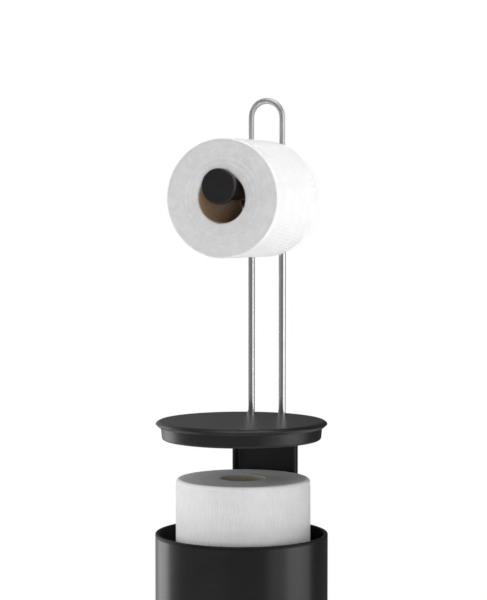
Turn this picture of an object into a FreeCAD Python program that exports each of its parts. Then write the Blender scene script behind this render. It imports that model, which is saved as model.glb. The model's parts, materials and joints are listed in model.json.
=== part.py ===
"""Free-standing toilet paper holder with a lift-out store for spare rolls, in millimetres.

A round steel canister stands on the floor. Its lid carries two upright rods that end in a looped
handle, an arm for the roll in use, and below the lid a spine with a tray that holds three spare
rolls. All of that lifts out of the canister by the handle, and is drawn part-way up.

The frame's origin is on the floor, in the middle of the base. +Z is up and the arm points to -Y.
"""

import FreeCAD, Part

import math
import os

Vector = FreeCAD.Vector
UP = Vector(0, 0, 1)
BACK = Vector(0, 1, 0)
AXIS = Vector(0, 0, 0)

# ---- driving dimensions -------------------------------------------------------------------------

canister_radius = 83.8
lid_radius = 83.2
raised = 103.5  # how far the lift-out part stands above its closed place
running_gap = 0.3  # air between faces that move past each other
fit_gap = 0.05  # air in a push fit

front_roll_radius = 57.0
front_roll_hole = 23.9
spare_roll_radius = 65.5
spare_roll_hole = 21.0
roll_length = 107.0
core_wall = 0.8
spare_places = [(0.0, 0.0), (0.6, -0.4), (1.8, -0.8)]  # x and y of each spare roll, lowest first
head_room = 50.2  # from the uppermost spare roll to the lid's rim

rod_spacing = 33.0
rod_y = 66.5
rod_places = [(-rod_spacing / 2, rod_y), (rod_spacing / 2, rod_y)]
rod_radius = 3.7
rod_bore = 2.95
loop_radius = 2.9
arm_above_lid = 226.0
loop_above_lid = 295.0  # where the handle's bend starts

arm_radius = 12.8
cap_radius = 17.1
cap_thickness = 8.0

# ---- fasteners (radii, and a socket's size across its flats) --------------------------------------

m3, m3_clear, m3_head, m3_key = 1.5, 1.65, 2.9, 2.5
m4, m4_clear, m4_head = 2.0, 2.2, 3.7
m5, m5_clear, m5_head, m5_key = 2.5, 2.7, 4.4, 4.0
sunk_head, sunk_depth, sunk_length = 3.9, 2.0, 5.6
pan_head_height = 2.4
washer_radius = 4.6
washer_thickness = 0.8
past = 1.0  # how far a cut runs past the face that it opens

# ---- canister -----------------------------------------------------------------------------------

foot_height = 1.5  # the base cover's clearance over the floor
wall_sheet = 1.0
wall_bottom = 8.0
wall_inner = canister_radius - wall_sheet
cover_plate = 3.5
ballast_radius = 74.0
ballast_bottom = foot_height + cover_plate
ballast_top = 12.5
floor_bottom = 14.0
floor_sheet = 1.2
floor_top = floor_bottom + floor_sheet
rim_inner = 80.4
rim_cap_height = 3.0
rim_lip_depth = 12.0
foot_ring_inner = 62.0
foot_ring_outer = 77.0
foot_groove = 1.0
base_head_bottom = foot_height + 0.2
base_head_top = base_head_bottom + pan_head_height
base_screw_circle = 45.0
floor_nut_flats = 7.0
floor_nut_bottom = floor_bottom - 3.2

# ---- lift-out stack, from the canister's floor upwards --------------------------------------------

spine_flange = 2.4  # the plate at each end of the spine that is screwed on
tray_plate = 4.0
tray_radius = 76.5
stack_gap = 0.1
closed_foot = floor_top + 1.0 - running_gap
closed_tray_top = closed_foot + spine_flange + tray_plate
closed_stack_top = closed_tray_top + len(spare_places) * (roll_length + stack_gap)
canister_height = closed_stack_top + head_room

foot_z = closed_foot + raised
tray_z = foot_z + spine_flange
tray_top = tray_z + tray_plate
lid_z = canister_height + raised  # underside of the lid's rim

lid_thickness = 5.8
lid_top = lid_z + lid_thickness
lid_skin = 2.6
skirt_radius = 78.3
skirt_draft = 1.0
skirt_depth = 12.3
skirt_wall = 2.4
liner_panel = 2.2
liner_bottom = lid_z - skirt_depth

rod_bottom = lid_z - 4.0
insert_top = rod_bottom + 18.0
rod_screw_seat = liner_bottom + 3.7

arm_z = lid_top + arm_above_lid
bend_z = lid_top + loop_above_lid
rod_top = arm_z + 21.0

# ---- spine --------------------------------------------------------------------------------------

spine_width = 67.6
spine_front = 58.5
spine_back = 70.2
spine_corner = 5.0
spine_panel = 2.0
spine_side = 3.0
spine_flange_front = 42.0
spine_top = liner_bottom - fit_gap
spine_head_z = spine_top - spine_flange
spine_screw_places = [(-22.0, 50.0), (0.0, 50.0), (22.0, 50.0)]

# ---- arm and bracket ----------------------------------------------------------------------------

rosette_radius = 31.0
rosette_thickness = 2.6
rosette_front = rod_y - rod_radius - rosette_thickness - 0.6
rosette_back = rosette_front + rosette_thickness
clamp_width = 49.0
clamp_height = 36.0
clamp_corner = 7.0
clamp_split = rod_y + 0.15
clamp_back = rod_y + 5.4
clamp_head_end = clamp_back - 0.1
clamp_screw_heights = (arm_z - 13.0, arm_z + 13.0)
clamp_screw_tip = rosette_front + 1.6
clamp_screw_seat = clamp_back - 2.2
arm_bolt_seat = clamp_back - 3.0
roll_back = rosette_front - 2.5
roll_front = roll_back - roll_length
cap_back = roll_front - 1.8
sleeve_wall = 2.6
sleeve_bore = arm_radius - sleeve_wall
web_front = cap_back + 6.5
web_back = web_front + 3.0
arm_core_radius = 5.0
arm_core_back = rosette_front + 1.15
arm_bolt_tip = rosette_front - 14.0
arm_screw_tip = web_back + 13.0
tap_run_out = 2.0
front_roll_z = arm_z + arm_radius + running_gap - front_roll_hole


# ---- construction helpers -----------------------------------------------------------------------


def save(name, *solids):
    """Writes one sub-part, of one or more separate closed solids."""
    for solid in solids:
        if not solid.isValid() or solid.Volume <= 0:
            raise RuntimeError(name + " is not a sound solid")
    shape = solids[0] if len(solids) == 1 else Part.makeCompound(list(solids))
    shape.exportStep(os.path.join("parts", name + ".step"))


def outline(start, *steps):
    """A closed outline of (radius, height) points. A pair of points is an arc: one on it, then its end."""

    def place(point):
        return Vector(point[0], 0, point[1])

    edges = []
    here = start
    for step in steps + (start,):
        if isinstance(step[0], tuple):
            edges.append(Part.Arc(place(here), place(step[0]), place(step[1])).toShape())
            here = step[1]
        elif step != here:
            edges.append(Part.LineSegment(place(here), place(step)).toShape())
            here = step
    return Part.Wire(edges)


def turned(start, *steps):
    """The solid of revolution about +Z of an outline."""
    return Part.Face(outline(start, *steps)).revolve(AXIS, UP, 360).Solids[0]


def on_arc(centre, radius, degrees):
    angle = math.radians(degrees)
    return (centre[0] + radius * math.cos(angle), centre[1] + radius * math.sin(angle))


def tube(outer, inner, bottom, top, x=0.0, y=0.0):
    """An upright tube, or a rod where inner is 0."""
    solid = Part.makeCylinder(outer, top - bottom, Vector(x, y, bottom), UP)
    if inner:
        solid = solid.cut(Part.makeCylinder(inner, top - bottom, Vector(x, y, bottom), UP))
    return solid.Solids[0]


def bar_y(radius, front, back, z):
    """A round bar along Y, from front to back."""
    return Part.makeCylinder(radius, back - front, Vector(0, front, z), BACK)


def block(x0, x1, y0, y1, z0, z1):
    return Part.makeBox(x1 - x0, y1 - y0, z1 - z0, Vector(x0, y0, z0))


def edges_along(shape, direction, keep=lambda middle: True):
    """The straight edges that run along a direction and whose middle point passes keep."""
    found = []
    for edge in shape.Edges:
        if len(edge.Vertexes) < 2:
            continue
        run = edge.Vertexes[-1].Point.sub(edge.Vertexes[0].Point)
        straight = abs(run.Length - edge.Length) < 1e-6
        if straight and run.Length > 1e-6 and run.cross(direction).Length < 1e-6 * run.Length:
            if keep(edge.CenterOfMass):
                found.append(edge)
    return found


def circles(shape, level, direction):
    """The circular edges that lie across a direction, at a level along it."""
    return [
        edge
        for edge in shape.Edges
        if isinstance(edge.Curve, Part.Circle)
        and abs(edge.Curve.Center.dot(direction) - level) < 1e-6
        and edge.Curve.Axis.cross(direction).Length < 1e-6
    ]


def round_edges(shape, radius, level, direction):
    return shape.makeFillet(radius, circles(shape, level, direction))


def hexagon(across_flats, bottom, top, x=0.0, y=0.0):
    corner = across_flats / math.sqrt(3)
    corners = [on_arc((x, y), corner, 60 * side) for side in range(7)]
    face = Part.Face(Part.makePolygon([Vector(*corner_place, bottom) for corner_place in corners]))
    return face.extrude(Vector(0, 0, top - bottom))


def cross_recess(x, y, face):
    """A cross-shaped driver recess that opens downwards at a head's face."""
    arm, half_width, depth = 2.0, 0.45, 1.3
    first = block(x - arm, x + arm, y - half_width, y + half_width, face - past, face + depth)
    second = block(x - half_width, x + half_width, y - arm, y + arm, face - past, face + depth)
    return first.fuse(second)


def pan_screw(x, y, seat, tip):
    """An upright M4 pan-head screw, driven from below, whose head bears on seat."""
    head_bottom = seat - pan_head_height
    head = round_edges(tube(m4_head, 0, head_bottom, seat, x, y), 0.8, head_bottom, UP)
    shank = tube(m4, 0, head_bottom + 2, tip, x, y)
    return head.fuse(shank).cut(cross_recess(x, y, head_bottom)).removeSplitter().Solids[0]


def countersunk(x, y, face, gap=0.0):
    """The body of an upright M4 screw, its head flush with the face below it, larger all round by a gap."""
    head = Part.makeCone(sunk_head + gap, m4 + gap, sunk_depth, Vector(x, y, face), UP)
    return head.fuse(tube(m4 + gap, 0, face, face + sunk_length + gap, x, y))


def countersunk_screws(face):
    """The row of screws through one of the spine's end flanges, driven from below."""
    seat = face + fit_gap
    return [
        countersunk(x, y, seat).cut(cross_recess(x, y, seat)).removeSplitter().Solids[0]
        for x, y in spine_screw_places
    ]


def socket_screw(radius, head_radius, key, tip, seat, head_end, z):
    """A socket-head screw along Y, in the plane x = 0. Its head bears on seat and ends at head_end."""
    depth = 1.8
    head = bar_y(head_radius, min(seat, head_end), max(seat, head_end), z)
    head = round_edges(head, 0.4, head_end, BACK)
    inside = seat + (head_end - seat) / 10
    shank = bar_y(radius, min(tip, inside), max(tip, inside), z)
    socket = hexagon(key, -depth, depth)
    socket.rotate(AXIS, Vector(1, 0, 0), 90)
    socket.translate(Vector(0, head_end, z))
    return head.fuse(shank).cut(socket).removeSplitter().Solids[0]


# ---- canister parts -----------------------------------------------------------------------------

base_screw_places = [on_arc((0, 0), base_screw_circle, angle) for angle in (45, 135, 225, 315)]


def canister_wall():
    """Rolled sheet-steel sleeve."""
    return tube(canister_radius, wall_inner, wall_bottom, canister_height - rim_cap_height)


def rim_ring():
    """Moulded ring that caps the sleeve's raw edge and reaches down inside it."""
    top = canister_height
    shoulder = top - rim_cap_height
    lip_outer = wall_inner - fit_gap
    outer_round = 1.3
    inner_round = 0.9
    return turned(
        (lip_outer, shoulder),
        (canister_radius, shoulder),
        (canister_radius, top - outer_round),
        (
            on_arc((canister_radius - outer_round, top - outer_round), outer_round, 45),
            (canister_radius - outer_round, top),
        ),
        (rim_inner + inner_round, top),
        (
            on_arc((rim_inner + inner_round, top - inner_round), inner_round, 135),
            (rim_inner, top - inner_round),
        ),
        (rim_inner, shoulder - rim_lip_depth + 1.0),
        (rim_inner + 1.0, shoulder - rim_lip_depth),
        (lip_outer, shoulder - rim_lip_depth),
    )


def canister_floor():
    """Pressed pan with a turned-up edge, spot-welded inside the sleeve."""
    outer = wall_inner - fit_gap
    bend = 3.0
    inner_bend = bend - floor_sheet
    edge_top = floor_bottom + 12.0
    centre = (outer - bend, floor_bottom + bend)
    return turned(
        (0, floor_bottom),
        (outer - bend, floor_bottom),
        (on_arc(centre, bend, -45), (outer, floor_bottom + bend)),
        (outer, edge_top),
        (outer - floor_sheet, edge_top),
        (outer - floor_sheet, floor_bottom + bend),
        (on_arc(centre, inner_bend, -45), (outer - bend, floor_top)),
        (0, floor_top),
    )


def base_cover():
    """Moulded base: a plinth under the sleeve's edge, a spigot inside it, and a plate under the ballast."""
    plinth = canister_radius - 0.4
    spigot = wall_inner - fit_gap
    spigot_inner = wall_inner - 2.9
    corner = 2.2
    solid = turned(
        (0, foot_height),
        (foot_ring_inner - fit_gap, foot_height),
        (foot_ring_inner - fit_gap, foot_height + foot_groove),
        (foot_ring_outer + fit_gap, foot_height + foot_groove),
        (foot_ring_outer + fit_gap, foot_height),
        (plinth - corner, foot_height),
        (on_arc((plinth - corner, foot_height + corner), corner, -45), (plinth, foot_height + corner)),
        (plinth, wall_bottom),
        (spigot, wall_bottom),
        (spigot, floor_bottom - 0.3),
        (spigot_inner, floor_bottom - 0.3),
        (spigot_inner, ballast_bottom),
        (0, ballast_bottom),
    )
    for x, y in base_screw_places:
        solid = solid.cut(tube(m4_clear, 0, foot_height - past, ballast_bottom + past, x, y))
        solid = solid.cut(tube(m4_head + 0.4, 0, foot_height - past, base_head_top, x, y))
    return solid.Solids[0]


def ballast_disc():
    """Cast-iron weight, clear of the welded nuts."""
    nut_clear = floor_nut_flats / math.sqrt(3) + 0.6
    solid = tube(ballast_radius, 0, ballast_bottom + fit_gap, ballast_top)
    solid = round_edges(solid, 1.5, ballast_top, UP)
    for x, y in base_screw_places:
        solid = solid.cut(tube(m4_clear + 0.3, 0, ballast_bottom - past, ballast_top + past, x, y))
        solid = solid.cut(tube(nut_clear, 0, floor_nut_bottom - 0.4, ballast_top + past, x, y))
    return solid.Solids[0]


def foot_ring():
    """Soft ring that the holder stands on."""
    top = foot_height + foot_groove
    return turned(
        (foot_ring_inner, 0.6),
        (foot_ring_inner + 0.6, 0),
        (foot_ring_outer - 0.6, 0),
        (foot_ring_outer, 0.6),
        (foot_ring_outer, top),
        (foot_ring_inner, top),
    )


def base_screws():
    """Pan-head screws that hold the base cover and the ballast to the floor pan."""
    return [pan_screw(x, y, base_head_top, floor_bottom - 0.4) for x, y in base_screw_places]


def floor_nuts():
    """Hexagon nuts welded under the floor pan."""
    solids = []
    for x, y in base_screw_places:
        nut = hexagon(floor_nut_flats, floor_nut_bottom, floor_bottom, x, y)
        bore = tube(m4 + fit_gap, 0, floor_nut_bottom - past, floor_bottom + past, x, y)
        solids.append(nut.cut(bore).Solids[0])
    return solids


# ---- lid ----------------------------------------------------------------------------------------


def lid_cap():
    """Flat top that rounds down to a blunt nose, with a chamfer below. A recess takes the liner."""
    nose, shoulder_width, shoulder_radius, chamfer = 0.8, 5.0, 6.05, 2.9
    nose_centre = (lid_radius - nose, lid_z + lid_thickness / 2)
    shoulder_centre = (lid_radius - shoulder_width, lid_top - shoulder_radius)
    recess = skirt_radius + fit_gap
    ceiling = lid_top - lid_skin
    solid = turned(
        (0, ceiling),
        (recess, ceiling),
        (recess, lid_z),
        (lid_radius - chamfer, lid_z),
        on_arc(nose_centre, nose, -45),
        (on_arc(nose_centre, nose, 0), on_arc(nose_centre, nose, 37)),
        (on_arc(shoulder_centre, shoulder_radius, 65), (lid_radius - shoulder_width, lid_top)),
        (0, lid_top),
    )
    for x, y in rod_places:
        solid = solid.cut(tube(rod_radius + fit_gap, 0, lid_z, lid_top + past, x, y))
    return solid.Solids[0]


def lid_liner():
    """Cup under the cap: a skirt that enters the canister, and bosses for the rods and the spine."""
    top = lid_top - lid_skin - fit_gap
    foot_radius = skirt_radius - skirt_draft
    corner = 2.4
    inner = skirt_radius - skirt_wall
    rod_boss, spine_boss = 6.8, 4.2
    solid = turned(
        (0, liner_bottom),
        (foot_radius - corner, liner_bottom),
        (
            on_arc((foot_radius - corner, liner_bottom + corner), corner, -45),
            (foot_radius, liner_bottom + corner),
        ),
        (skirt_radius, lid_z),
        (skirt_radius, top),
        (inner, top),
        (inner - skirt_draft, liner_bottom + liner_panel),
        (0, liner_bottom + liner_panel),
    )
    bosses = [tube(rod_boss, 0, liner_bottom + 0.5, top, x, y) for x, y in rod_places]
    bosses += [tube(spine_boss, 0, liner_bottom + 0.5, lid_z, x, y) for x, y in spine_screw_places]
    solid = solid.fuse(bosses)
    for x, y in rod_places:
        solid = solid.cut(tube(rod_radius + fit_gap, 0, rod_bottom, lid_top, x, y))
        solid = solid.cut(tube(m4_clear, 0, liner_bottom - past, lid_top, x, y))
        solid = solid.cut(tube(washer_radius + 0.3, 0, liner_bottom - past, rod_screw_seat, x, y))
    for x, y in spine_screw_places:
        solid = solid.cut(tube(m4 + fit_gap, 0, liner_bottom - past, liner_bottom + 4.0, x, y))
    return solid.removeSplitter().Solids[0]


# ---- rods and handle ----------------------------------------------------------------------------


def rod(x):
    """Stainless tube, chamfered at its upper end."""
    solid = tube(rod_radius, rod_bore, rod_bottom, rod_top, x, rod_y)
    outer = [edge for edge in circles(solid, rod_top, UP) if edge.Curve.Radius == rod_radius]
    return solid.makeChamfer(0.4, outer).Solids[0]


def rod_insert(x):
    """Threaded plug pressed into the tube's foot."""
    return tube(rod_bore - fit_gap, m4 + fit_gap, rod_bottom, insert_top, x, rod_y)


def lid_screws():
    """Screws that go up through the liner into the rods."""
    seat = rod_screw_seat - washer_thickness
    return [pan_screw(x, y, seat, insert_top - 3.0) for x, y in rod_places]


def lid_washers():
    seat = rod_screw_seat
    return [tube(washer_radius, m4 + 0.15, seat - washer_thickness, seat, x, y) for x, y in rod_places]


def handle_loop():
    """Bent rod whose legs sit in the upper ends of the tubes."""
    leg_bottom = arm_z - 6.0
    legs = [tube(loop_radius, 0, leg_bottom, bend_z, x, y) for x, y in rod_places]
    section = Part.Face(Part.Wire(Part.makeCircle(loop_radius, Vector(rod_spacing / 2, rod_y, bend_z), UP)))
    bend = section.revolve(Vector(0, rod_y, bend_z), Vector(0, -1, 0), 180)
    return legs[0].fuse([bend, legs[1]]).removeSplitter().Solids[0]


# ---- spine and tray -----------------------------------------------------------------------------


def spine_plate(bottom):
    """A flat end flange of the spine, reaching forward."""
    half = spine_width / 2
    plate = block(-half, half, spine_flange_front, spine_back, bottom, bottom + spine_flange)
    plate = plate.makeFillet(5.0, edges_along(plate, UP, lambda middle: middle.y < rod_y - spine_corner))
    return plate.makeFillet(spine_corner, edges_along(plate, UP, lambda middle: middle.y > spine_front))


def spine():
    """Channel behind the rolls, with a flange under the lid and another under the tray."""
    half = spine_width / 2
    inner = half - spine_side
    panel = spine_back - spine_panel
    outer = block(-half, half, spine_front, spine_back, foot_z, spine_top)
    outer = outer.makeFillet(spine_corner, edges_along(outer, UP, lambda middle: middle.y > panel))
    hollow = block(-inner, inner, spine_front - past, panel, foot_z - past, spine_top + past)
    inside = edges_along(hollow, UP, lambda middle: middle.y > spine_front)
    hollow = hollow.makeFillet(spine_corner - spine_panel, inside)
    channel = outer.cut(hollow)
    lips = edges_along(channel, UP, lambda middle: middle.y < spine_front + fit_gap)
    channel = channel.makeFillet(1.1, lips)
    solid = channel.fuse([spine_plate(spine_head_z), spine_plate(foot_z)])
    for x, y in spine_screw_places:
        solid = solid.cut(countersunk(x, y, foot_z, fit_gap))
        solid = solid.cut(countersunk(x, y, spine_head_z, fit_gap))
    return solid.removeSplitter().Solids[0]


def tray():
    """Round tray with a raised edge and a hub for the lowest roll's core, notched behind for the spine."""
    edge_height = 9.0
    edge_wall = 2.0
    hub_radius, hub_height, hub_round = 18.0, 12.0, 5.0
    cup = 1.8  # wall of the hollow hub
    top = tray_top
    solid = turned(
        (0, top + hub_height - cup),
        (hub_radius - hub_round, top + hub_height - cup),
        (
            on_arc((hub_radius - hub_round, top + hub_height - hub_round), hub_round - cup, 45),
            (hub_radius - cup, top + hub_height - hub_round),
        ),
        (hub_radius - cup, tray_z),
        (tray_radius, tray_z),
        (tray_radius, tray_z + edge_height),
        (tray_radius - edge_wall, tray_z + edge_height),
        (tray_radius - edge_wall, top),
        (hub_radius, top),
        (hub_radius, top + hub_height - hub_round),
        (
            on_arc((hub_radius - hub_round, top + hub_height - hub_round), hub_round, 45),
            (hub_radius - hub_round, top + hub_height),
        ),
        (0, top + hub_height),
    )
    notch = spine_width / 2 + 0.3
    notch_top = tray_z + edge_height + past
    solid = solid.cut(block(-notch, notch, spine_front - 0.3, canister_radius, tray_z - past, notch_top))
    for x, y in spine_screw_places:
        solid = solid.cut(countersunk(x, y, foot_z, fit_gap))
    return solid.Solids[0]


# ---- roll arm -----------------------------------------------------------------------------------


def clamp_block(front, back):
    """A rounded block across both rods."""
    half_x, half_z = clamp_width / 2, clamp_height / 2
    solid = block(-half_x, half_x, front, back, arm_z - half_z, arm_z + half_z)
    return solid.makeFillet(clamp_corner, edges_along(solid, BACK))


def rod_seats():
    """The space of both rods, with the clearance that their seats leave."""
    return [tube(rod_radius + fit_gap, 0, arm_z - 40, arm_z + 40, x, y) for x, y in rod_places]


def arm_bracket():
    """Round stop behind the roll, with the front half of the rods' clamp and a boss for the sleeve."""
    boss_front = rosette_front - 4.0
    rosette = bar_y(rosette_radius, rosette_front, rosette_back, arm_z)
    rosette = round_edges(rosette, 1.2, rosette_front, BACK)
    boss = bar_y(sleeve_bore - fit_gap, boss_front, rosette_back, arm_z)
    solid = rosette.fuse([boss, clamp_block(rosette_front + 1.0, clamp_split - 0.3)])
    for seat in rod_seats():
        solid = solid.cut(seat)
    solid = solid.cut(bar_y(arm_core_radius + fit_gap, boss_front - past, arm_core_back + fit_gap, arm_z))
    solid = solid.cut(bar_y(m5_clear, boss_front - past, clamp_split + past, arm_z))
    for z in clamp_screw_heights:
        solid = solid.cut(bar_y(m3 + fit_gap, clamp_screw_tip - 0.2, clamp_split + past, z))
    return solid.removeSplitter().Solids[0]


def clamp_plate():
    """Rear half of the rods' clamp."""
    solid = clamp_block(clamp_split, clamp_back)
    rear = [edge for edge in solid.Edges if abs(edge.CenterOfMass.y - clamp_back) < 1e-6]
    solid = solid.makeFillet(1.0, rear)
    for seat in rod_seats():
        solid = solid.cut(seat)
    solid = solid.cut(bar_y(m5_clear, clamp_split - past, clamp_back + past, arm_z))
    solid = solid.cut(bar_y(m5_head + 0.5, arm_bolt_seat, clamp_back + past, arm_z))
    for z in clamp_screw_heights:
        solid = solid.cut(bar_y(m3_clear, clamp_split - past, clamp_back + past, z))
        solid = solid.cut(bar_y(m3_head + 0.3, clamp_screw_seat, clamp_back + past, z))
    return solid.Solids[0]


def clamp_screws():
    return [
        socket_screw(m3, m3_head, m3_key, clamp_screw_tip, clamp_screw_seat, clamp_head_end, z)
        for z in clamp_screw_heights
    ]


def arm_bolt():
    """Bolt that draws the arm's core back against the bracket and the clamp plate."""
    return socket_screw(m5, m5_head, m5_key, arm_bolt_tip, arm_bolt_seat, clamp_head_end, arm_z)


def arm_core():
    """Steel bar inside the arm, tapped at both ends."""
    front = web_back + fit_gap
    solid = bar_y(arm_core_radius, front, arm_core_back, arm_z)
    solid = solid.cut(bar_y(m5 + fit_gap, arm_bolt_tip - tap_run_out, arm_core_back + past, arm_z))
    solid = solid.cut(bar_y(m5 + fit_gap, front - past, arm_screw_tip + tap_run_out, arm_z))
    return solid.Solids[0]


def arm_sleeve():
    """Hollow moulding that the roll hangs on, with a web near its front for the screw."""
    front = cap_back + fit_gap
    back = rosette_front - fit_gap
    solid = bar_y(arm_radius, front, back, arm_z)
    solid = solid.cut(bar_y(sleeve_bore, web_back, back + past, arm_z))
    solid = solid.cut(bar_y(sleeve_bore, front - past, web_front, arm_z))
    solid = solid.cut(bar_y(m5_clear, web_front - past, web_back + past, arm_z))
    return solid.Solids[0]


def arm_screw():
    """Screw that holds the sleeve's web to the core's front end."""
    return socket_screw(m5, m5_head, m5_key, arm_screw_tip, web_front, web_front - 2.8, arm_z)


def end_cap():
    """Round stop on the arm's front end, on a spigot that presses into the sleeve."""
    front = cap_back - cap_thickness
    spigot_length = 3.0
    spigot_wall = 2.2
    disc = bar_y(cap_radius, front, cap_back, arm_z)
    disc = round_edges(disc, 1.8, front, BACK)
    disc = round_edges(disc, 1.2, cap_back, BACK)
    spigot = bar_y(sleeve_bore - fit_gap, cap_back - past, cap_back + spigot_length, arm_z)
    hollow = bar_y(sleeve_bore - spigot_wall, cap_back - 3.0, cap_back + spigot_length + past, arm_z)
    return disc.fuse(spigot).cut(hollow).removeSplitter().Solids[0]


# ---- rolls --------------------------------------------------------------------------------------


def roll(outer, hole, bottom, x=0.0, y=0.0):
    """An upright roll as (paper, cardboard core), standing on bottom."""
    soft_edge = 1.5
    core_outer = hole + core_wall
    core = tube(core_outer, hole, bottom, bottom + roll_length, x, y)
    paper = tube(outer, core_outer + fit_gap, bottom, bottom + roll_length, x, y)
    ends = circles(paper, bottom, UP) + circles(paper, bottom + roll_length, UP)
    rims = [edge for edge in ends if edge.Curve.Radius == outer]
    return paper.makeFillet(soft_edge, rims), core


def front_roll():
    """The roll in use, hung on the arm by the top of its core."""
    pieces = roll(front_roll_radius, front_roll_hole, 0)
    for piece in pieces:
        piece.rotate(AXIS, Vector(1, 0, 0), 90)
        piece.translate(Vector(0, roll_back, front_roll_z))
    return pieces


def spare_roll(index):
    """A spare roll on the tray; index 0 is the lowest."""
    bottom = tray_top + stack_gap + index * (roll_length + stack_gap)
    return roll(spare_roll_radius, spare_roll_hole, bottom, *spare_places[index])


def build():
    os.makedirs("parts", exist_ok=True)
    save("canister_wall", canister_wall())
    save("rim_ring", rim_ring())
    save("canister_floor", canister_floor())
    save("base_cover", base_cover())
    save("ballast_disc", ballast_disc())
    save("foot_ring", foot_ring())
    save("base_screws", *base_screws())
    save("floor_nuts", *floor_nuts())

    save("lid_cap", lid_cap())
    save("lid_liner", lid_liner())
    save("spine", spine())
    save("tray", tray())
    save("tray_screws", *countersunk_screws(foot_z))
    save("spine_screws", *countersunk_screws(spine_head_z))
    for side, x in (("left", -rod_spacing / 2), ("right", rod_spacing / 2)):
        save("rod_" + side, rod(x))
        save("rod_insert_" + side, rod_insert(x))
    save("lid_screws", *lid_screws())
    save("lid_washers", *lid_washers())
    save("handle_loop", handle_loop())

    save("arm_bracket", arm_bracket())
    save("clamp_plate", clamp_plate())
    save("clamp_screws", *clamp_screws())
    save("arm_bolt", arm_bolt())
    save("arm_core", arm_core())
    save("arm_sleeve", arm_sleeve())
    save("arm_screw", arm_screw())
    save("end_cap", end_cap())

    paper, core = front_roll()
    save("front_roll_paper", paper)
    save("front_roll_core", core)
    for index, place in enumerate(("lower", "middle", "upper")):
        paper, core = spare_roll(index)
        save("spare_roll_" + place + "_paper", paper)
        save("spare_roll_" + place + "_core", core)


build()
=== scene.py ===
"""Looks of the free-standing toilet paper holder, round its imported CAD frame, in metres.

+Z is up, the roll arm points to -Y, and the frame's origin is on the floor below the canister's axis.
Most CAD parts are shown as they are, in a procedural finish. The rolls of tissue and their cardboard
cores are built here, with the embossing, windings and seams that the plain CAD solids leave out.
"""

import json
import math

import bpy
import numpy as np
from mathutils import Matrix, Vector


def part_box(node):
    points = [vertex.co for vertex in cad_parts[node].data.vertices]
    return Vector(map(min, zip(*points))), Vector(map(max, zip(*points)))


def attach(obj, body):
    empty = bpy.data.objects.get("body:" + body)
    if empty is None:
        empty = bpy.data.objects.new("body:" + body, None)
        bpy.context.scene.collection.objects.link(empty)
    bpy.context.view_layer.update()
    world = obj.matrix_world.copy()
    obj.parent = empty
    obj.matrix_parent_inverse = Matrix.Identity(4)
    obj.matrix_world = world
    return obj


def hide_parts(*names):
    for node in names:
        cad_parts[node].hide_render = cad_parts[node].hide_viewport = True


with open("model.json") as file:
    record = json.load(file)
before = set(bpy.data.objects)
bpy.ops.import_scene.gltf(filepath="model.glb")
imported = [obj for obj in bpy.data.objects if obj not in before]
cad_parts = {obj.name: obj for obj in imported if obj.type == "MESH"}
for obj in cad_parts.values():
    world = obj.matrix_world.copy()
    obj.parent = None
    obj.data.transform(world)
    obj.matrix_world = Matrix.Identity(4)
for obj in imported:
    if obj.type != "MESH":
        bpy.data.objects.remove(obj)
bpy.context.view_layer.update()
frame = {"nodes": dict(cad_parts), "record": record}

MM = 0.001
TURN = 2 * math.pi

# ---- places, all from the frame -----------------------------------------------------------------

lid_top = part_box("lid_cap")[1].z
above_lid = Vector((0, 0, lid_top + 0.065))
roll_middle = sum(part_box("front_roll_paper"), Vector()) / 2

# ---- camera -------------------------------------------------------------------------------------

SENSOR = 36.0  # mm, along the picture's longer side
LENS = 117.06  # mm
CAMERA_AZIMUTH = math.radians(22)
CAMERA_DISTANCE = 1.883
CAMERA_ABOVE_LID = 0.2133
CAMERA_PITCH = math.radians(2.934)
CAMERA_YAW = math.radians(0.0587)


def make_camera():
    """A long lens to the right of the roll arm, a little above the lid and tilted slightly down."""
    data = bpy.data.cameras.new("camera")
    data.sensor_width = SENSOR
    data.lens = LENS
    data.clip_start = 0.05
    data.clip_end = 60
    camera = bpy.data.objects.new("camera", data)
    bpy.context.scene.collection.objects.link(camera)
    place = Vector((math.sin(CAMERA_AZIMUTH), -math.cos(CAMERA_AZIMUTH), 0)) * CAMERA_DISTANCE
    camera.location = place + Vector((0, 0, lid_top + CAMERA_ABOVE_LID))
    camera.rotation_euler = (math.pi / 2 - CAMERA_PITCH, 0, CAMERA_AZIMUTH - CAMERA_YAW)
    bpy.context.scene.camera = camera


make_camera()

# ---- material helpers ---------------------------------------------------------------------------


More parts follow.
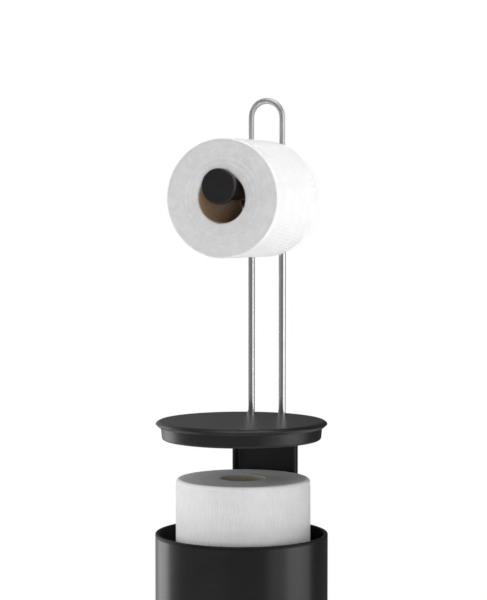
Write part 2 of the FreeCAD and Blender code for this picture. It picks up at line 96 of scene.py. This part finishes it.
class Finish:
    """A procedural material: a Principled shader and short ways to add the nodes that drive it."""

    def __init__(self, name, **sockets):
        self.material = bpy.data.materials.new(name)
        self.material.use_nodes = True
        self.tree = self.material.node_tree
        self.shader = self.tree.nodes["Principled BSDF"]
        for socket, value in sockets.items():
            self.shader.inputs[socket.replace("_", " ")].default_value = value

    def node(self, kind, **settings):
        made = self.tree.nodes.new(kind)
        for name, value in settings.items():
            setattr(made, name, value)
        return made

    def link(self, output, target):
        self.tree.links.new(output, target)

    def place(self, scale=(1, 1, 1)):
        """Coordinates of the surface in metres, stretched by scale."""
        coordinates = self.node("ShaderNodeTexCoord")
        mapping = self.node("ShaderNodeMapping")
        mapping.inputs["Scale"].default_value = scale
        self.link(coordinates.outputs["Object"], mapping.inputs["Vector"])
        return mapping.outputs["Vector"]

    def noise(self, where, scale, detail, roughness=0.55):
        """Noise in space, from about 0 to 1."""
        made = self.node("ShaderNodeTexNoise")
        made.inputs["Scale"].default_value = scale
        made.inputs["Detail"].default_value = detail
        made.inputs["Roughness"].default_value = roughness
        self.link(where, made.inputs["Vector"])
        return made.outputs["Fac"]

    def line_noise(self, where, scale, detail):
        """Noise along one number."""
        made = self.node("ShaderNodeTexNoise", noise_dimensions="1D")
        made.inputs["Scale"].default_value = scale
        made.inputs["Detail"].default_value = detail
        self.link(where, made.inputs["W"])
        return made.outputs["Fac"]

    def ramp(self, value, *stops):
        """A colour ramp of (position, grey or colour) stops."""
        made = self.node("ShaderNodeValToRGB")
        elements = made.color_ramp.elements
        while len(elements) < len(stops):
            elements.new(0.5)
        for element, (position, colour) in zip(elements, stops):
            element.position = position
            shade = (colour,) * 3 if isinstance(colour, (int, float)) else colour
            element.color = (*shade, 1)
        self.link(value, made.inputs["Fac"])
        return made.outputs["Color"]

    def spread(self, value, low, high, low_in=0.0, high_in=1.0):
        """A value between low_in and high_in, carried over to between low and high."""
        made = self.node("ShaderNodeMapRange")
        made.inputs["From Min"].default_value = low_in
        made.inputs["From Max"].default_value = high_in
        made.inputs["To Min"].default_value = low
        made.inputs["To Max"].default_value = high
        self.link(value, made.inputs["Value"])
        return made.outputs["Result"]

    def maths(self, operation, first, second=None):
        """One sum of numbers or node outputs."""
        made = self.node("ShaderNodeMath", operation=operation)
        for socket, value in zip(made.inputs, (first, second)):
            if isinstance(value, (int, float)):
                socket.default_value = value
            elif value is not None:
                self.link(value, socket)
        return made.outputs[0]

    def multiply(self, first, second):
        """Two colours multiplied."""
        made = self.node("ShaderNodeMix", data_type="RGBA", blend_type="MULTIPLY")
        made.inputs["Factor"].default_value = 1
        colours = [socket for socket in made.inputs if socket.type == "RGBA"]
        self.link(first, colours[0])
        self.link(second, colours[1])
        return next(socket for socket in made.outputs if socket.type == "RGBA")

    def bump(self, height, distance, strength, under=None):
        """Relief of a depth in metres, over another relief where one is given."""
        made = self.node("ShaderNodeBump")
        made.inputs["Distance"].default_value = distance
        made.inputs["Strength"].default_value = strength
        self.link(height, made.inputs["Height"])
        if under is not None:
            self.link(under, made.inputs["Normal"])
        return made.outputs["Normal"]

    def into(self, socket, value):
        """Drives one of the shader's sockets."""
        self.link(value, self.shader.inputs[socket])


def moulded(name, shade, roughness, grain, depth, specular=0.5):
    """Black plastic or paint: a fine grain, and slow changes of gloss and of depth of colour."""
    finish = Finish(name, Specular_IOR_Level=specular)
    where = finish.place()
    cloudy = finish.noise(where, 28, 4)
    fine = finish.noise(where, grain, 2, 0.6)
    marks = finish.noise(finish.place((260, 260, 40)), 1.0, 5, 0.7)
    finish.into("Base Color", finish.ramp(cloudy, (0.3, shade * 0.86), (0.7, shade * 1.16)))
    change = 0.02
    clouds = finish.spread(cloudy, -change, change)
    worn = finish.maths("ADD", clouds, finish.spread(marks, -change, change))
    speckled = finish.maths("ADD", worn, finish.spread(fine, roughness - change, roughness + change))
    finish.into("Roughness", speckled)
    finish.into("Normal", finish.bump(fine, depth, 0.5))
    return finish.material


def steel(name, shade, roughness, along, streak):
    """Drawn or brushed steel, with fine lines that run along one direction."""
    finish = Finish(name, Metallic=1.0)
    stretch = tuple(18 if axis == along else 2600 for axis in "XYZ")
    lines = finish.noise(finish.place(stretch), 1.0, 4, 0.65)
    smears = finish.noise(finish.place(), 90, 4)
    tone = finish.ramp(lines, (0.25, shade * 0.9), (0.75, shade))
    finish.into("Base Color", finish.multiply(tone, finish.ramp(smears, (0.3, 0.93), (0.65, 1.0))))
    uneven = finish.maths("ADD", finish.spread(lines, -streak, streak), finish.spread(smears, -0.03, 0.05))
    finish.into("Roughness", finish.maths("ADD", uneven, roughness))
    finish.into("Normal", finish.bump(lines, 0.00002, 0.35))
    return finish.material


def plated():
    """Zinc plate: small crystals, and a slow change between bluish and yellowish grey."""
    finish = Finish("zinc_plate", Metallic=1.0)
    where = finish.place()
    crystals = finish.noise(where, 700, 3)
    hue = finish.noise(where, 160, 3)
    finish.into("Base Color", finish.ramp(hue, (0.35, (0.50, 0.50, 0.49)), (0.7, (0.60, 0.59, 0.54))))
    finish.into("Roughness", finish.spread(crystals, 0.24, 0.44))
    finish.into("Normal", finish.bump(crystals, 0.00003, 0.4))
    return finish.material


def cast_iron():
    """Iron as it comes out of a sand mould."""
    finish = Finish("cast_iron", Metallic=0.8)
    sand = finish.noise(finish.place(), 420, 6, 0.7)
    finish.into("Base Color", finish.ramp(sand, (0.3, 0.035), (0.75, (0.10, 0.095, 0.09))))
    finish.into("Roughness", finish.spread(sand, 0.55, 0.8))
    finish.into("Normal", finish.bump(sand, 0.0004, 0.7))
    return finish.material


def soft_rubber():
    """Black rubber with a little dust on it."""
    finish = Finish("foot_rubber")
    where = finish.place()
    fine = finish.noise(where, 1100, 3)
    dust = finish.noise(where, 60, 5, 0.7)
    finish.into("Base Color", finish.ramp(dust, (0.45, 0.022), (0.85, 0.05)))
    finish.into("Roughness", finish.spread(fine, 0.68, 0.86))
    finish.into("Normal", finish.bump(fine, 0.00008, 0.5))
    return finish.material


def tissue(name, along, shade=0.93):
    """The side of a roll of tissue: creped fibres across the sheet and a faint mottle."""
    finish = Finish(name, Subsurface_Weight=0.15, Subsurface_Scale=0.002, Sheen_Weight=0.25)
    finish.shader.inputs["Subsurface Radius"].default_value = (1.0, 0.95, 0.9)
    finish.shader.inputs["Sheen Roughness"].default_value = 0.6
    stretch = tuple(420 if axis == along else 1500 for axis in "XYZ")
    crepe = finish.noise(finish.place(stretch), 1.0, 5, 0.7)
    fibres = finish.noise(finish.place(), 2600, 4, 0.75)
    cloud = finish.noise(finish.place(), 75, 5, 0.6)
    tone = finish.ramp(cloud, (0.3, shade * 0.955), (0.7, shade))
    finish.into("Base Color", finish.multiply(tone, finish.ramp(fibres, (0.25, 0.955), (0.6, 1.0))))
    finish.into("Roughness", finish.spread(fibres, 0.86, 0.98))
    weave = finish.bump(crepe, 0.00016, 0.55)
    finish.into("Normal", finish.bump(fibres, 0.00006, 0.5, under=weave))
    return finish.material


def distance_from_axis(finish, centre, axis):
    """How far the surface is from the line through centre along the axis, in metres."""
    coordinates = finish.node("ShaderNodeTexCoord").outputs["Object"]
    split = finish.node("ShaderNodeSeparateXYZ")
    finish.link(coordinates, split.inputs["Vector"])
    squares = []
    for i, letter in enumerate("XYZ"):
        if letter != axis:
            offset = finish.maths("SUBTRACT", split.outputs[i], centre[i])
            squares.append(finish.maths("POWER", offset, 2))
    return finish.maths("SQRT", finish.maths("ADD", *squares))


def windings(name, centre, axis, shade=0.90):
    """The end of a roll: the edges of its windings, as rings of uneven tone and height."""
    finish = Finish(name, Subsurface_Weight=0.12, Subsurface_Scale=0.002, Sheen_Weight=0.2)
    radius = distance_from_axis(finish, centre, axis)
    wobble = finish.noise(finish.place(), 55, 3)
    drifting = finish.maths("ADD", radius, finish.spread(wobble, -0.0012, 0.0012))
    rings = finish.line_noise(drifting, 2400, 3)
    bands = finish.line_noise(drifting, 420, 2)
    fibres = finish.noise(finish.place(), 1500, 5, 0.75)
    cloud = finish.noise(finish.place(), 150, 6, 0.7)
    layered = finish.ramp(rings, (0.3, shade * 0.93), (0.65, shade))
    layered = finish.multiply(layered, finish.ramp(fibres, (0.32, 0.91), (0.66, 1.0)))
    layered = finish.multiply(layered, finish.ramp(bands, (0.32, 0.962), (0.62, 1.0)))
    finish.into("Base Color", finish.multiply(layered, finish.ramp(cloud, (0.36, 0.91), (0.62, 1.0))))
    finish.into("Roughness", finish.spread(fibres, 0.88, 1.0))
    ridged = finish.bump(bands, 0.0003, 0.5, under=finish.bump(rings, 0.0003, 0.7))
    finish.into("Normal", finish.bump(fibres, 0.0004, 0.7, under=ridged))
    return finish.material


def board(name, dark, pale):
    """Chipboard, between a dark and a pale colour, with flecks."""
    finish = Finish(name)
    where = finish.place()
    fibre = finish.noise(finish.place((900, 900, 500)), 1.0, 5, 0.7)
    flecks = finish.noise(where, 1300, 2, 0.8)
    tone = finish.ramp(fibre, (0.25, dark), (0.75, pale))
    finish.into("Base Color", finish.multiply(tone, finish.ramp(flecks, (0.28, 0.72), (0.42, 1.0))))
    finish.into("Roughness", finish.spread(fibre, 0.78, 0.93))
    finish.into("Normal", finish.bump(fibre, 0.0001, 0.5))
    return finish.material


# ---- finishes for the CAD parts -----------------------------------------------------------------

black_coat = moulded("canister_coat", 0.010, 0.26, 1500, 0.00001)
black_mould = moulded("black_mould", 0.011, 0.34, 2300, 0.00002)
# The rim ring's shade of 0.007 is darker than the black plastic's 0.011. That darkening is painted shade,
# keeping the rim a dark line; its rougher, duller gloss is its own finish.
rim_mould_painted_shade = moulded("rim_mould_painted_shade", 0.007, 0.50, 1900, 0.00003, specular=0.25)
# The arm sleeve is the same black plastic as the lid. Its lighter shade of 0.028 is painted light,
# standing in for the bright tissue it reflects.
arm_mould_painted_light = moulded("arm_mould_painted_light", 0.028, 0.30, 1700, 0.00002)
brown_board = board("core_board", (0.60, 0.42, 0.27), (0.78, 0.57, 0.38))
grey_board = board("grey_board", (0.36, 0.34, 0.26), (0.50, 0.47, 0.37))
cut_board = board("cut_board", (0.60, 0.56, 0.50), (0.80, 0.77, 0.71))

slot_finish = {
    "canister_coat": black_coat,
    "black_plastic": black_mould,
    "polished_steel": steel("polished_tube", 0.86, 0.13, "Z", 0.05),
    "satin_steel": steel("satin_rod", 0.80, 0.48, "Z", 0.04),
    "plated_steel": plated(),
    "cast_weight": cast_iron(),
    "foot_rubber": soft_rubber(),
    "tissue": tissue("tissue_plain", "Z"),
    "core_board": brown_board,
}
own_finish = {"rim_ring": rim_mould_painted_shade, "arm_sleeve": arm_mould_painted_light}


def dress_frame():
    """Gives each CAD part its own finish, or else the one of its material slot."""
    slots = {part["node"]: part["material_slot"] for part in frame["record"]["subparts"]}
    for name, node in frame["nodes"].items():
        node.data.materials.clear()
        node.data.materials.append(own_finish.get(name, slot_finish[slots[name]]))


dress_frame()

# ---- rolls --------------------------------------------------------------------------------------


def ring_mesh(name, rings, materials, row_material):
    """A closed mesh from rings of points, where each ring joins the next and the last the first."""
    rows, columns = rings.shape[:2]
    row, column = np.meshgrid(np.arange(rows), np.arange(columns), indexing="ij")
    next_row, next_column = (row + 1) % rows, (column + 1) % columns
    corners = [row * columns + column, row * columns + next_column]
    corners += [next_row * columns + next_column, next_row * columns + column]
    faces = np.stack(corners, axis=-1).reshape(-1, 4)
    mesh = bpy.data.meshes.new(name)
    mesh.vertices.add(rows * columns)
    mesh.vertices.foreach_set("co", rings.astype(np.float32).ravel())
    mesh.loops.add(faces.size)
    mesh.loops.foreach_set("vertex_index", faces.astype(np.int32).ravel())
    mesh.polygons.add(len(faces))
    mesh.polygons.foreach_set("loop_start", np.arange(0, faces.size, 4, dtype=np.int32))
    for material in materials:
        mesh.materials.append(material)
    mesh.polygons.foreach_set("material_index", np.repeat(row_material, columns).astype(np.int32))
    mesh.polygons.foreach_set("use_smooth", np.ones(len(faces), bool))
    mesh.update(calc_edges=True)
    mesh.validate()
    made = bpy.data.objects.new(name, mesh)
    bpy.context.scene.collection.objects.link(made)
    return made


def swell(seed, turns, orders, heights=0.0, drift=0.0):
    """A smooth random wave, from -1 to 1, round a roll, that drifts a little along it."""
    source = np.random.default_rng(seed)
    total = np.zeros_like(turns)
    for order in orders:
        phase, weight = source.uniform(0, TURN), source.uniform(0.5, 1.0)
        along = drift * source.uniform(-1, 1) * heights
        total = total + weight * np.sin(order * turns + phase + along)
    return total / len(orders)


def around(rows, columns):
    """Radius, height and angle of each point of rings about +Z, from one radius and height per ring."""
    radii, heights = [np.repeat(rows[:, i, None], columns, 1) for i in (0, 1)]
    turns = np.linspace(0, TURN, columns, endpoint=False)
    return radii, heights, np.repeat(turns[None, :], len(rows), 0)


def to_points(radii, heights, turns):
    """The x, y and z of points about +Z."""
    return np.stack([radii * np.cos(turns), radii * np.sin(turns), heights], axis=-1)


END_ROWS = 30
SIDE_ROWS = 60
CORNER_ROWS = 5
BORE_STEPS = (0.97, 0.9, 0.5, 0.1, 0.03)

EMBOSS_PITCH = 3.7 * MM
EMBOSS_WAVE = 30 * MM  # length of one wave of a groove
EMBOSS_SWING = 1.3 * MM  # how far a groove sways to each side
EMBOSS_FADE = 6 * MM  # the grooves are shallower within this of the roll's edges
SHEET = 0.3 * MM
SLACK_SPREAD = 0.5  # radians
CREASE_WIDTH = 1.3 * MM
CREASE_WANDER = 1.2 * MM

WINDINGS = 70  # steps in height across the end
WINDING_STEP = 0.16 * MM
WINDING_SINK = 0.12 * MM
RUFFLE_DEPTH = 0.1 * MM
RUFFLE_TURN = 900  # radians per metre of radius
MOUTH_DEPTH = 3 * MM


def embossing(turns, heights, radius, seed, slant):
    """Depth, from 0 to 1, of wavy grooves that run along the roll, some of them at a slant."""
    lines = round(TURN * radius / EMBOSS_PITCH)
    wave = np.sin(TURN * heights / EMBOSS_WAVE + swell(seed, turns, (1, 2, 3)))
    sway = EMBOSS_SWING / EMBOSS_PITCH * wave
    leaning = slant * swell(seed + 8, turns, (1, 2, 4)) * heights / EMBOSS_PITCH
    groove = 0.5 + 0.5 * np.cos(lines * turns + TURN * (sway + leaning))
    patches = 0.72 + 0.28 * swell(seed + 1, turns, (4, 7, 9), heights, 60)
    return groove**2 * patches


def profile(outer, inner, length, corner):
    """Radius and height of each ring: up the side, over the top, down the bore and under the bottom."""
    steps = [0.5 * step + 0.25 * (1 - math.cos(math.pi * step)) for step in np.linspace(0, 1, SIDE_ROWS)]
    side = [(outer, corner + (length - 2 * corner) * step) for step in steps]
    bends = [math.pi / 2 * (i + 1) / (CORNER_ROWS + 1) for i in range(CORNER_ROWS)]
    bend = [(outer - corner + corner * math.cos(b), length - corner + corner * math.sin(b)) for b in bends]
    end = [(inner + (outer - corner - inner) * step, length) for step in np.linspace(1, 0, END_ROWS)]
    bore = [(inner, length * step) for step in BORE_STEPS]
    under = [(radius, length - height) for radius, height in reversed(bend + end)]
    return np.array(side + bend + end + bore + under)


def side_relief(turns, heights, outer, length, look):
    """How far the side stands out from a plain cylinder: swells and slack, less grooves and crease."""
    seed = look["seed"]
    off_edge = np.clip(np.minimum(heights, length - heights) / EMBOSS_FADE, 0.3, 1)
    wound = np.mod(turns - look["loose_end"], TURN) / TURN
    lumps = look["lumps"] * (swell(seed + 2, turns, (2, 3, 5), heights, 14) - 0.2)
    near_slack = np.exp(-(((turns - look["slack_turn"]) / SLACK_SPREAD) ** 2))
    slack = look["slack"] * near_slack * (1 - heights / length)
    grooves = look["emboss"] * embossing(turns, heights, outer, seed, look["slant"]) * off_edge
    wander = CREASE_WANDER * swell(seed + 6, turns, (2, 3, 4, 7))
    below_edge = (length - heights - look["crease_drop"] + wander) / CREASE_WIDTH
    crease_depth = look["crease"] * (0.75 + 0.5 * swell(seed + 7, turns, (1, 2, 5, 8)))
    crease = crease_depth * np.exp(-(below_edge**2))
    return lumps + slack - SHEET * wound - grooves - crease


def end_relief(turns, radii, across, inner, outer, look):
    """How far an end lies below a plain ring: steps between windings, ruffles and a shallow dish."""
    seed = look["seed"]
    steps = np.random.default_rng(seed + 3).uniform(0, 1, WINDINGS)
    winding = np.interp(radii, np.linspace(inner, outer, WINDINGS), steps)
    ruffle = swell(seed + 4, turns, (9, 14, 23, 31)) * np.sin(radii * RUFFLE_TURN + 3 * turns)
    dip = look["dish"] * np.sin(math.pi * across) * (1 + 0.3 * swell(seed + 5, turns, (1, 2, 3)))
    uneven = WINDING_SINK + WINDING_STEP * winding + RUFFLE_DEPTH * ruffle + dip
    return np.sin(math.pi * across) ** 0.3 * uneven


def wound_paper(outer, inner, length, look, columns):
    """Rings of points of a roll of tissue about +Z, from height 0 to length, and their plain rows."""
    corner = look["corner"]
    rows = profile(outer, inner, length, corner)
    radii, heights, turns = around(rows, columns)
    upper_half = heights > length / 2

    outside = np.clip((radii - (outer - corner)) / corner, 0, 1)
    across = np.clip((radii - inner) / (outer - corner - inner), 0, 1)
    mouth = look["mouth"] * np.exp(-np.abs(length - heights) / MOUTH_DEPTH) * (1 - across) ** 4
    mouth = mouth * (0.5 + 0.5 * np.cos(turns - look["mouth_turn"])) * upper_half
    new_radii = radii + outside * side_relief(turns, heights, outer, length, look)
    new_radii = new_radii + np.where(outside > 0, 0, mouth)

    on_end = (np.abs(heights - length / 2) > length / 2 - 1e-9) * (radii > inner + 0.1 * MM)
    pushed_in = on_end * end_relief(turns, radii, across, inner, outer, look)
    new_heights = heights + np.where(upper_half, -pushed_in, pushed_in)
    return to_points(new_radii, new_heights, turns), rows


CORE_WALL = 0.8 * MM
CORE_GAP = 0.05 * MM  # between the core and the paper
CORE_LIP = 0.25 * MM
CORE_ROWS = 90
CORE_COLUMNS = 180
SEAM_PITCH = 62 * MM
SEAM_DEPTH = 0.22 * MM
SEAM_WIDTH = 1.1 * MM
BUCKLE = 0.06 * MM
WEAR = 0.12 * MM


def wound_core(outer, inner, length, seed, columns):
    """Rings of points of a spiral-wound cardboard tube about +Z, and which rows are its cut ends."""
    steps = np.linspace(0, 1, CORE_ROWS)
    outside = [(outer, CORE_LIP + (length - 2 * CORE_LIP) * step) for step in steps]
    inside = [(inner, length - CORE_LIP - (length - 2 * CORE_LIP) * step) for step in steps]
    top = [(outer - CORE_LIP, length), (inner + CORE_LIP, length)]
    bottom = [(inner + CORE_LIP, 0), (outer - CORE_LIP, 0)]
    radii, heights, turns = around(np.array(outside + top + inside + bottom), columns)
    cut_ends = np.repeat([0, 1, 0, 1], [CORE_ROWS - 1, 3, CORE_ROWS - 1, 3])

    along_seam = np.mod(heights / SEAM_PITCH - turns / TURN, 1.0) * SEAM_PITCH
    from_seam = np.minimum(along_seam, SEAM_PITCH - along_seam)
    groove = SEAM_DEPTH * np.exp(-((from_seam / SEAM_WIDTH) ** 2))
    buckle = 0.5 * BUCKLE * (1 + swell(seed, turns, (2, 3, 4), heights, 30))
    into_wall = np.where(radii < (outer + inner) / 2, 1, -1)
    new_radii = radii + into_wall * (groove + buckle)

    at_end = np.abs(heights - length / 2) > (length - CORE_LIP) / 2
    worn = WEAR * at_end * (1 + swell(seed + 1, turns, (5, 8, 13, 21)))
    new_heights = np.clip(heights + np.where(heights > length / 2, -worn, worn), 0, length)
    return to_points(new_radii, new_heights, turns), cut_ends


def into_frame(rings, low, high, lying):
    """Moves rings about +Z to a node's place. A lying roll has its top end forward, towards -Y."""
    centre = (low + high) / 2
    x, y, z = np.moveaxis(rings, -1, 0)
    if lying:
        return np.stack([x + centre.x, high.y - z, y + centre.z], axis=-1)
    return np.stack([x + centre.x, y + centre.y, low.z + z], axis=-1)


def make_roll(name, body, node, look, board_finish, lying=False, columns=600):
    """A roll of tissue and its core, in place of the two plain solids of a node's name."""
    low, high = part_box(node + "_paper")
    core_low, core_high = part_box(node + "_core")
    axis = "Y" if lying else "Z"
    outer = (high.x - low.x) / 2
    core_outer = (core_high.x - core_low.x) / 2
    length = high.y - low.y if lying else high.z - low.z
    rings, rows = wound_paper(outer, core_outer + CORE_GAP, length, look, columns)
    materials = (tissue(name + "_sheet", axis), windings(name + "_windings", (low + high) / 2, axis))
    is_end = np.abs(rows[:, 1] - length / 2) > length / 2 - 1e-9
    paper = ring_mesh("tissue_" + name, into_frame(rings, low, high, lying), materials, is_end)
    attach(paper, body)
    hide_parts(node + "_paper")

    core_inner = core_outer - CORE_WALL
    core_rings, cut_ends = wound_core(core_outer, core_inner, length, look["seed"], CORE_COLUMNS)
    core_rings = into_frame(core_rings, low, high, lying)
    core = ring_mesh("core_" + name, core_rings, (board_finish, cut_board), cut_ends)
    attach(core, body)
    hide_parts(node + "_core")


# How rolls differ from plain rings, in millimetres.
PLAIN_ROLL = {
    "corner": 1.4,
    "lumps": 0.25,
    "dish": 0.3,
    "emboss": 0.26,
    "slack": 0,
    "mouth": 0,
    "crease": 0,
    "crease_drop": 5.5,
}
SPARE_ROLL = {"corner": 2.0, "lumps": 0.5, "dish": 0.6, "emboss": 0.85, "crease": 0.6}
SOFT_ROLL = SPARE_ROLL | {"corner": 4.0, "lumps": 0.8, "dish": 1.3, "mouth": 1.6}
SPARE_SLANT = 0.15


def roll_look(seed, loose_end, slack_turn=0.0, mouth_turn=0.0, slant=0.0, **lengths):
    """How a roll differs from a plain ring: places round it in radians, and lengths in millimetres."""
    settings = {"seed": seed, "loose_end": loose_end, "slack_turn": slack_turn}
    settings |= {"mouth_turn": mouth_turn, "slant": slant}
    lengths = PLAIN_ROLL | lengths
    return settings | {key: value * MM for key, value in lengths.items()}


in_use = roll_look(11, 4.4, slack=1.8, slack_turn=5.15, emboss=0.42)
upper = roll_look(23, 1.2, mouth_turn=3.6, slant=SPARE_SLANT, **SOFT_ROLL)
middle = roll_look(37, 2.0, slant=SPARE_SLANT, **SPARE_ROLL)
lower = roll_look(53, 2.6, slant=SPARE_SLANT, **SPARE_ROLL)
make_roll("in_use", "roll_in_use", "front_roll", in_use, brown_board, lying=True, columns=740)
make_roll("spare_upper", "lift_out", "spare_roll_upper", upper, grey_board, columns=740)
make_roll("spare_middle", "lift_out", "spare_roll_middle", middle, grey_board)
make_roll("spare_lower", "lift_out", "spare_roll_lower", lower, grey_board)

# ---- floor, light and surroundings --------------------------------------------------------------


FLOOR_RADIUS = 1.45
FADE_RADIUS = FLOOR_RADIUS * 0.55
FLOOR_SIDES = 96


def make_floor():
    """A pale round floor that fades out towards its edge, with no line against the backdrop."""
    finish = Finish("floor_sweep")
    where = finish.place()
    cloud = finish.noise(where, 3, 4)
    finish.into("Base Color", finish.ramp(cloud, (0.3, 0.89), (0.7, 0.92)))
    finish.into("Roughness", finish.spread(cloud, 0.7, 0.9))
    length = finish.node("ShaderNodeVectorMath", operation="LENGTH")
    finish.link(where, length.inputs[0])
    finish.into("Alpha", finish.spread(length.outputs["Value"], 1.0, 0.0, FADE_RADIUS, FLOOR_RADIUS))
    turns = [TURN * i / FLOOR_SIDES for i in range(FLOOR_SIDES)]
    ring = [(FLOOR_RADIUS * math.cos(turn), FLOOR_RADIUS * math.sin(turn), 0) for turn in turns]
    mesh = bpy.data.meshes.new("floor")
    mesh.from_pydata(ring, [], [tuple(range(FLOOR_SIDES))])
    mesh.materials.append(finish.material)
    floor = bpy.data.objects.new("floor", mesh)
    bpy.context.scene.collection.objects.link(floor)


def towards(azimuth, elevation):
    """Unit vector to a direction in degrees. Azimuth 0 is in front of the holder, on its -Y side."""
    turn, rise = math.radians(azimuth), math.radians(elevation)
    return Vector((math.sin(turn) * math.cos(rise), -math.cos(turn) * math.cos(rise), math.sin(rise)))


def area_light(name, azimuth, elevation, distance, size, power, aim=above_lid, only=None, spread=180):
    """A rectangular soft light that faces the aim, for both gloss and matt light or for only one.

    Its direction and spread are in degrees, its distance and size in metres, its power in watts.
    """
    data = bpy.data.lights.new(name, "AREA")
    data.shape = "RECTANGLE"
    data.size, data.size_y = size
    data.energy = power
    data.spread = math.radians(spread)
    light = bpy.data.objects.new(name, data)
    bpy.context.scene.collection.objects.link(light)
    away = towards(azimuth, elevation)
    light.location = Vector(aim) + away * distance
    light.rotation_euler = away.to_track_quat("Z", "Y").to_euler()
    light.visible_glossy = only != "matt"
    light.visible_diffuse = only != "gloss"


# Broad glows of the studio walls: direction in degrees, cosine where each starts and is full, strength.
GLOWS = {
    "camera_side": ((22, 0), 0.4, 1.0, 0.084),
    "front_left": ((-50, 0), 0.4, 1.0, 0.18),
    "left": ((-115, 0), 0.6, 1.0, 0.51),
}
DIM_STUDIO = 0.08


def studio_strength(nodes, links):
    """The dim studio's strength in a direction: DIM_STUDIO and each of the glows, added up."""
    direction = nodes.new("ShaderNodeTexCoord").outputs["Generated"]
    total = None
    for name, (place, start, full, strength) in GLOWS.items():
        dot = nodes.new("ShaderNodeVectorMath")
        dot.operation = "DOT_PRODUCT"
        dot.inputs[1].default_value = towards(*place)
        links.new(direction, dot.inputs[0])
        glow = nodes.new("ShaderNodeMapRange")
        glow.name = name
        glow.interpolation_type = "SMOOTHSTEP"
        glow.inputs["From Min"].default_value = start
        glow.inputs["From Max"].default_value = full
        glow.inputs["To Max"].default_value = strength
        links.new(dot.outputs["Value"], glow.inputs["Value"])
        add = nodes.new("ShaderNodeMath")
        add.inputs[0].default_value = DIM_STUDIO
        if total is not None:
            links.new(total, add.inputs[0])
        links.new(glow.outputs["Result"], add.inputs[1])
        total = add.outputs[0]
    return total


def make_world():
    """A white backdrop for the camera, and a dim studio with a few broad glows for everything else."""
    world = bpy.data.worlds.new("studio")
    bpy.context.scene.world = world
    world.use_nodes = True
    nodes, links = world.node_tree.nodes, world.node_tree.links
    nodes.clear()
    studio = nodes.new("ShaderNodeBackground")
    links.new(studio_strength(nodes, links), studio.inputs["Strength"])
    backdrop = nodes.new("ShaderNodeBackground")
    for background in (studio, backdrop):
        background.inputs["Color"].default_value = (1, 1, 1, 1)
    mix = nodes.new("ShaderNodeMixShader")
    path = nodes.new("ShaderNodeLightPath")
    output = nodes.new("ShaderNodeOutputWorld")
    links.new(path.outputs["Is Camera Ray"], mix.inputs["Fac"])
    links.new(studio.outputs["Background"], mix.inputs[1])
    links.new(backdrop.outputs["Background"], mix.inputs[2])
    links.new(mix.outputs["Shader"], output.inputs["Surface"])


def light_up():
    """Fills that light only matt surfaces, strips that only gloss shows, and one light for both."""
    area_light("overhead", 40, 80, 1.6, (1.4, 1.4), 10.1)
    area_light("top_right", 70, 60, 1.6, (1.0, 1.0), 4.6, only="matt")
    area_light("top_left", -70, 55, 1.6, (1.0, 1.0), 10.4, only="matt")
    area_light("left_fill", -75, 8, 2.0, (1.0, 1.0), 10.5, only="matt")
    area_light("camera_fill", 26, 0, 2.2, (0.7, 0.7), 15.2, only="matt")
    area_light("low_fill", -10, -12, 2.2, (0.8, 0.8), 1.3, only="matt")
    area_light("right_under_roll", 90, -18, 1.2, (0.3, 0.3), 0.28, roll_middle, only="matt", spread=26)
    area_light("left_strip", -97, 0, 1.6, (0.46, 1.9), 5.4, only="gloss")
    area_light("left_back_strip", -113, 0, 1.6, (0.42, 1.9), 3.3, only="gloss")
    area_light("right_front_strip", 72, 2, 1.7, (0.95, 1.9), 3.9, only="gloss")
    area_light("right_strip", 95, 2, 1.7, (0.68, 1.9), 7.0, only="gloss")
    area_light("right_back_strip", 114, 2, 1.7, (0.50, 1.9), 3.6, only="gloss")


make_floor()
make_world()
light_up()
bpy.context.scene.view_settings.view_transform = "Standard"
